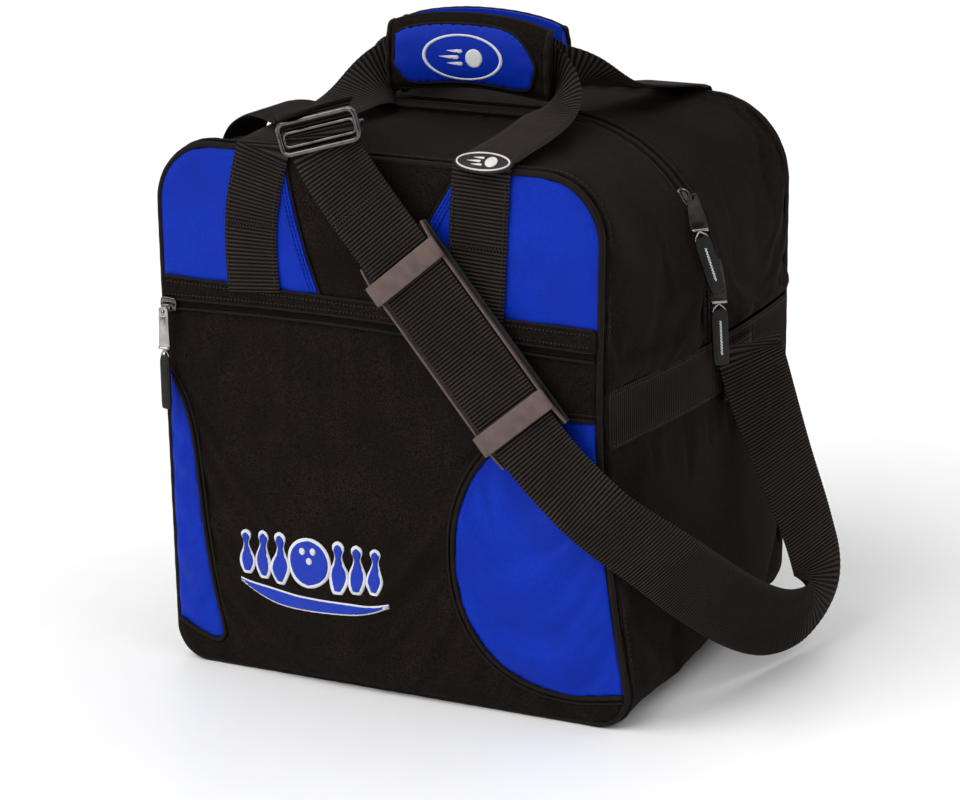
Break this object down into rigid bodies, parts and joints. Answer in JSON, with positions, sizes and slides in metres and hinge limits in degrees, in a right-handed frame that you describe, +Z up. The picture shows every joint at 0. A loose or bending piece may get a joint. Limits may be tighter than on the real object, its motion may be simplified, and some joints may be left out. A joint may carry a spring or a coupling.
{
  "type": "bowling ball bag",
  "caption": "Single-ball bag: upright padded body with front pocket, arched zipped lid, webbing handles joined by a wrap grip, and an adjustable padded shoulder strap.",
  "frame": {"origin": "middle of the underside, on the floor", "axes": "+Z up, -Y out of the front with the pocket, +X to the right seen from the front"},
  "size_m": [0.4164, 0.3272, 0.4285],
  "materials": {
    "lower_gusset": "plain woven polyester",
    "top_front_gusset": "plain woven polyester",
    "front_wall": "plain woven polyester",
    "back_wall_lower": "plain woven polyester",
    "front_piping": "plain woven polyester",
    "back_piping_lower": "plain woven polyester",
    "front_shoulder_left": "smooth woven nylon",
    "front_centre": "plain woven polyester",
    "front_shoulder_right": "smooth woven nylon",
    "hem_band": "ribbed webbing",
    "pocket_side_left": "smooth woven nylon",
    "pocket_front": "plain woven polyester",
    "pocket_side_right": "smooth woven nylon",
    "pocket_seam_left": "plain woven polyester",
    "pocket_seam_right": "plain woven polyester",
    "main_zipper_front_half": "plain woven polyester",
    "pocket_zipper_upper_half": "plain woven polyester",
    "pocket_zipper_lower_half": "plain woven polyester",
    "front_leg_left": "ribbed webbing",
    "front_leg_right": "ribbed webbing",
    "handle_badge": "moulded soft rubber",
    "shoulder_strap_top": "ribbed webbing",
    "shoulder_strap_low": "ribbed webbing",
    "shoulder_strap_return": "ribbed webbing",
    "side_band_left": "ribbed webbing",
    "side_band_right": "ribbed webbing",
    "base_board": "stiff board",
    "ball_cup": "closed-cell foam",
    "top_rear_gusset": "plain woven polyester",
    "back_wall_upper": "plain woven polyester",
    "back_piping_upper": "plain woven polyester",
    "main_zipper_rear_half": "plain woven polyester",
    "rear_leg_left": "ribbed webbing",
    "rear_leg_right": "ribbed webbing",
    "front_handle_loop": "ribbed webbing",
    "grip_front_pad": "smooth woven nylon",
    "grip_hook_patch": "plain woven polyester",
    "rear_handle_loop": "ribbed webbing",
    "grip_rear_pad": "smooth woven nylon",
    "grip_loop_patch": "ribbed webbing",
    "tri_glide_frame": "black nickel",
    "tri_glide_bar": "black nickel",
    "shoulder_pad": "moulded soft rubber",
    "shoulder_pad_bar_upper": "moulded, satin",
    "shoulder_pad_bar_lower": "moulded, satin",
    "upper_slider": "black nickel",
    "upper_tab": "black nickel",
    "upper_pull": "moulded soft rubber",
    "lower_slider": "black nickel",
    "lower_tab": "black nickel",
    "lower_pull": "moulded soft rubber",
    "pocket_slider": "black nickel",
    "pocket_tab": "black nickel",
    "pocket_pull": "moulded soft rubber"
  },
  "bodies": {
    "bag": {"lower_gusset": "lower_gusset", "top_front_gusset": "top_front_gusset", "front_wall": "front_wall", "back_wall_lower": "back_wall_lower", "front_piping": "front_piping", "back_piping_lower": "back_piping_lower", "front_shoulder_left": "front_shoulder_left", "front_centre": "front_centre", "front_shoulder_right": "front_shoulder_right", "hem_band": "hem_band", "pocket_side_left": "pocket_side_left", "pocket_front": "pocket_front", "pocket_side_right": "pocket_side_right", "pocket_seam_left": "pocket_seam_left", "pocket_seam_right": "pocket_seam_right", "main_zipper_front_half": "main_zipper_front_half", "pocket_zipper_upper_half": "pocket_zipper_upper_half", "pocket_zipper_lower_half": "pocket_zipper_lower_half", "front_leg_left": "front_leg_left", "front_leg_right": "front_leg_right", "handle_badge": "handle_badge", "shoulder_strap_top": "shoulder_strap_top", "shoulder_strap_low": "shoulder_strap_low", "shoulder_strap_return": "shoulder_strap_return", "side_band_left": "side_band_left", "side_band_right": "side_band_right", "base_board": "base_board", "ball_cup": "ball_cup"},
    "lid": {"top_rear_gusset": "top_rear_gusset", "back_wall_upper": "back_wall_upper", "back_piping_upper": "back_piping_upper", "main_zipper_rear_half": "main_zipper_rear_half", "rear_leg_left": "rear_leg_left", "rear_leg_right": "rear_leg_right"},
    "front_handle": {"front_handle_loop": "front_handle_loop", "grip_front_pad": "grip_front_pad", "grip_hook_patch": "grip_hook_patch"},
    "rear_handle": {"rear_handle_loop": "rear_handle_loop", "grip_rear_pad": "grip_rear_pad", "grip_loop_patch": "grip_loop_patch"},
    "tri_glide": {"tri_glide_frame": "tri_glide_frame", "tri_glide_bar": "tri_glide_bar"},
    "shoulder_pad": {"shoulder_pad": "shoulder_pad", "shoulder_pad_bar_upper": "shoulder_pad_bar_upper", "shoulder_pad_bar_lower": "shoulder_pad_bar_lower"},
    "upper_slider": {"upper_slider": "upper_slider"},
    "upper_tab": {"upper_tab": "upper_tab"},
    "upper_pull": {"upper_pull": "upper_pull"},
    "lower_slider": {"lower_slider": "lower_slider"},
    "lower_tab": {"lower_tab": "lower_tab"},
    "lower_pull": {"lower_pull": "lower_pull"},
    "pocket_slider": {"pocket_slider": "pocket_slider"},
    "pocket_tab": {"pocket_tab": "pocket_tab"},
    "pocket_pull": {"pocket_pull": "pocket_pull"}
  },
  "joints": [
    {"name": "lid_fold", "type": "hinge", "parent": "bag", "child": "lid", "pos_m": [0, 0.1492, 0.2224], "axis": [-1, 0, 0], "range_deg": [0, 80]},
    {"name": "front_handle_lift", "type": "hinge", "parent": "bag", "child": "front_handle", "pos_m": [0, -0.1396, 0.361], "axis": [1, 0, 0], "range_deg": [0, 100], "deforming": ["shoulder_strap_top"]},
    {"name": "rear_handle_lift", "type": "hinge", "parent": "lid", "child": "rear_handle", "pos_m": [0, 0.1396, 0.361], "axis": [-1, 0, 0], "range_deg": [0, 100]},
    {"name": "upper_slider_run", "type": "hinge", "parent": "bag", "child": "upper_slider", "pos_m": [0.05645, 0, 0.2515], "axis": [0, -1, 0], "range_deg": [-6, 38]},
    {"name": "upper_tab_swing", "type": "hinge", "parent": "upper_slider", "child": "upper_tab", "pos_m": [0.15515, -0.0048, 0.31695], "axis": [-0.304, -0.8481, 0.4341], "range_deg": [0, 60]},
    {"name": "upper_pull_swing", "type": "hinge", "parent": "upper_tab", "child": "upper_pull", "pos_m": [0.16834, -0.02108, 0.29438], "axis": [0.0057, -0.9968, -0.0797], "range_deg": [0, 60]},
    {"name": "lower_slider_run", "type": "hinge", "parent": "bag", "child": "lower_slider", "pos_m": [0.05645, 0, 0.2515], "axis": [0, -1, 0], "range_deg": [-3, 5]},
    {"name": "lower_tab_swing", "type": "hinge", "parent": "lower_slider", "child": "lower_tab", "pos_m": [0.17249, -0.0048, 0.27521], "axis": [-0.0391, -0.9848, 0.1692], "range_deg": [0, 60]},
    {"name": "lower_pull_swing", "type": "hinge", "parent": "lower_tab", "child": "lower_pull", "pos_m": [0.17667, -0.01013, 0.24516], "axis": [-0.0198, -0.9993, 0.0318], "range_deg": [0, 60]},
    {"name": "pocket_slider_run", "type": "slide", "parent": "bag", "child": "pocket_slider", "axis": [1, 0, 0], "range_m": [0, 0.285]},
    {"name": "pocket_tab_swing", "type": "hinge", "parent": "pocket_slider", "child": "pocket_tab", "pos_m": [-0.153, -0.15636, 0.245], "axis": [-1, 0, 0], "range_deg": [0, 80]},
    {"name": "pocket_pull_swing", "type": "hinge", "parent": "pocket_tab", "child": "pocket_pull", "pos_m": [-0.153, -0.15636, 0.2142], "axis": [-1, 0, 0], "range_deg": [0, 60]},
    {"name": "tri_glide_shift", "type": "slide", "parent": "bag", "child": "tri_glide", "axis": [0.28, 0, -0.96], "range_m": [-0.006, 0.006]},
    {"name": "shoulder_pad_shift", "type": "slide", "parent": "bag", "child": "shoulder_pad", "axis": [-0.6386, 0, 0.7695], "range_m": [-0.006, 0.045]}
  ]
}
